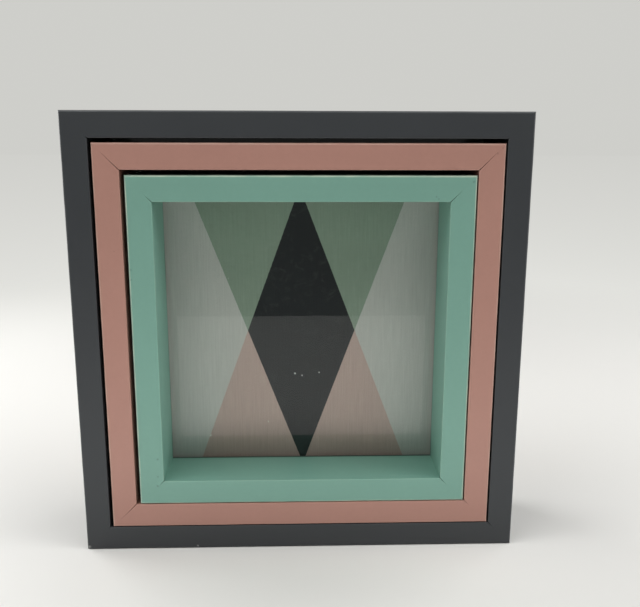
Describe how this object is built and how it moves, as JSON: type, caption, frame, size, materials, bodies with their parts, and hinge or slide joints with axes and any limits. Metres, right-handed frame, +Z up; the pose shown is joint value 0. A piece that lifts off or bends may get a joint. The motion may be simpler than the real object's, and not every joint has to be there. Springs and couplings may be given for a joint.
{
  "type": "nesting box frames",
  "caption": "Nest of square box frames with mitred painted rails, each with glass, back panel, turn buttons and a sawtooth hanger; the inner frames slide out to the front.",
  "frame": {"origin": "middle of the underside of the nest, halfway through its depth, bumpers included", "axes": "+Z up, the glazed fronts face -Y, +X to the right as seen from the front"},
  "size_m": [0.25, 0.064, 0.25],
  "materials": {
    "large_paint": "satin charcoal grey paint on wood",
    "medium_paint": "satin dusty pink paint on wood",
    "small_paint": "satin mint green paint on wood",
    "glass": "clear float glass",
    "printed_card": "linen-faced card printed with a lattice of long diamonds in charcoal, green and blush",
    "plain_card": "plain pale linen-faced card",
    "hardboard": "bare brown hardboard",
    "zinc_plated_steel": "bright zinc plate",
    "rubber": "soft black rubber"
  },
  "bodies": {
    "large_frame": {"large_top_rail": "large_paint", "large_bottom_rail": "large_paint", "large_left_rail": "large_paint", "large_right_rail": "large_paint", "large_glass": "glass", "large_sheet": "plain_card", "large_back_panel": "hardboard", "large_button_screws": "zinc_plated_steel", "large_hanger": "zinc_plated_steel", "large_hanger_nails": "zinc_plated_steel", "large_corner_wedges": "zinc_plated_steel", "large_bumpers": "rubber"},
    "medium_frame": {"medium_top_rail": "medium_paint", "medium_bottom_rail": "medium_paint", "medium_left_rail": "medium_paint", "medium_right_rail": "medium_paint", "medium_glass": "glass", "medium_sheet": "plain_card", "medium_back_panel": "hardboard", "medium_button_screws": "zinc_plated_steel", "medium_hanger": "zinc_plated_steel", "medium_hanger_nails": "zinc_plated_steel", "medium_corner_wedges": "zinc_plated_steel", "medium_bumpers": "rubber"},
    "small_frame": {"small_top_rail": "small_paint", "small_bottom_rail": "small_paint", "small_left_rail": "small_paint", "small_right_rail": "small_paint", "small_glass": "glass", "small_print": "printed_card", "small_back_panel": "hardboard", "small_button_screws": "zinc_plated_steel", "small_hanger": "zinc_plated_steel", "small_hanger_nails": "zinc_plated_steel", "small_corner_wedges": "zinc_plated_steel", "small_bumpers": "rubber"},
    "large_button_upper_left": {"large_turn_button_upper_left": "zinc_plated_steel"},
    "large_button_upper_right": {"large_turn_button_upper_right": "zinc_plated_steel"},
    "large_button_lower_left": {"large_turn_button_lower_left": "zinc_plated_steel"},
    "large_button_lower_right": {"large_turn_button_lower_right": "zinc_plated_steel"},
    "medium_button_upper_left": {"medium_turn_button_upper_left": "zinc_plated_steel"},
    "medium_button_upper_right": {"medium_turn_button_upper_right": "zinc_plated_steel"},
    "medium_button_lower_left": {"medium_turn_button_lower_left": "zinc_plated_steel"},
    "medium_button_lower_right": {"medium_turn_button_lower_right": "zinc_plated_steel"},
    "small_button_upper_left": {"small_turn_button_upper_left": "zinc_plated_steel"},
    "small_button_upper_right": {"small_turn_button_upper_right": "zinc_plated_steel"},
    "small_button_lower_left": {"small_turn_button_lower_left": "zinc_plated_steel"},
    "small_button_lower_right": {"small_turn_button_lower_right": "zinc_plated_steel"}
  },
  "joints": [
    {"name": "medium_slide", "type": "slide", "parent": "large_frame", "child": "medium_frame", "axis": [0, -1, 0], "range_m": [0, 0.06]},
    {"name": "small_slide", "type": "slide", "parent": "medium_frame", "child": "small_frame", "axis": [0, -1, 0], "range_m": [0, 0.05]},
    {"name": "large_button_upper_left_turn", "type": "hinge", "parent": "large_frame", "child": "large_button_upper_left", "pos_m": [-0.12045, 0.028, 0.2], "axis": [0, 1, 0], "range_deg": [-90, 90]},
    {"name": "large_button_upper_right_turn", "type": "hinge", "parent": "large_frame", "child": "large_button_upper_right", "pos_m": [0.12045, 0.028, 0.2], "axis": [0, 1, 0], "range_deg": [-90, 90]},
    {"name": "large_button_lower_left_turn", "type": "hinge", "parent": "large_frame", "child": "large_button_lower_left", "pos_m": [-0.12045, 0.028, 0.05], "axis": [0, 1, 0], "range_deg": [-90, 90]},
    {"name": "large_button_lower_right_turn", "type": "hinge", "parent": "large_frame", "child": "large_button_lower_right", "pos_m": [0.12045, 0.028, 0.05], "axis": [0, 1, 0], "range_deg": [-90, 90]},
    {"name": "medium_button_upper_left_turn", "type": "hinge", "parent": "medium_frame", "child": "medium_button_upper_left", "pos_m": [-0.1047, 0.018, 0.1836], "axis": [0, 1, 0], "range_deg": [-90, 90]},
    {"name": "medium_button_upper_right_turn", "type": "hinge", "parent": "medium_frame", "child": "medium_button_upper_right", "pos_m": [0.1056, 0.018, 0.1836], "axis": [0, 1, 0], "range_deg": [-90, 90]},
    {"name": "medium_button_lower_left_turn", "type": "hinge", "parent": "medium_frame", "child": "medium_button_lower_left", "pos_m": [-0.1047, 0.018, 0.0642], "axis": [0, 1, 0], "range_deg": [-90, 90]},
    {"name": "medium_button_lower_right_turn", "type": "hinge", "parent": "medium_frame", "child": "medium_button_lower_right", "pos_m": [0.1056, 0.018, 0.0642], "axis": [0, 1, 0], "range_deg": [-90, 90]},
    {"name": "small_button_upper_left_turn", "type": "hinge", "parent": "small_frame", "child": "small_button_upper_left", "pos_m": [-0.08825, 0.008, 0.1667], "axis": [0, 1, 0], "range_deg": [-90, 90]},
    {"name": "small_button_upper_right_turn", "type": "hinge", "parent": "small_frame", "child": "small_button_upper_right", "pos_m": [0.09095, 0.008, 0.1667], "axis": [0, 1, 0], "range_deg": [-90, 90]},
    {"name": "small_button_lower_left_turn", "type": "hinge", "parent": "small_frame", "child": "small_button_lower_left", "pos_m": [-0.08825, 0.008, 0.0784], "axis": [0, 1, 0], "range_deg": [-90, 90]},
    {"name": "small_button_lower_right_turn", "type": "hinge", "parent": "small_frame", "child": "small_button_lower_right", "pos_m": [0.09095, 0.008, 0.0784], "axis": [0, 1, 0], "range_deg": [-90, 90]}
  ]
}
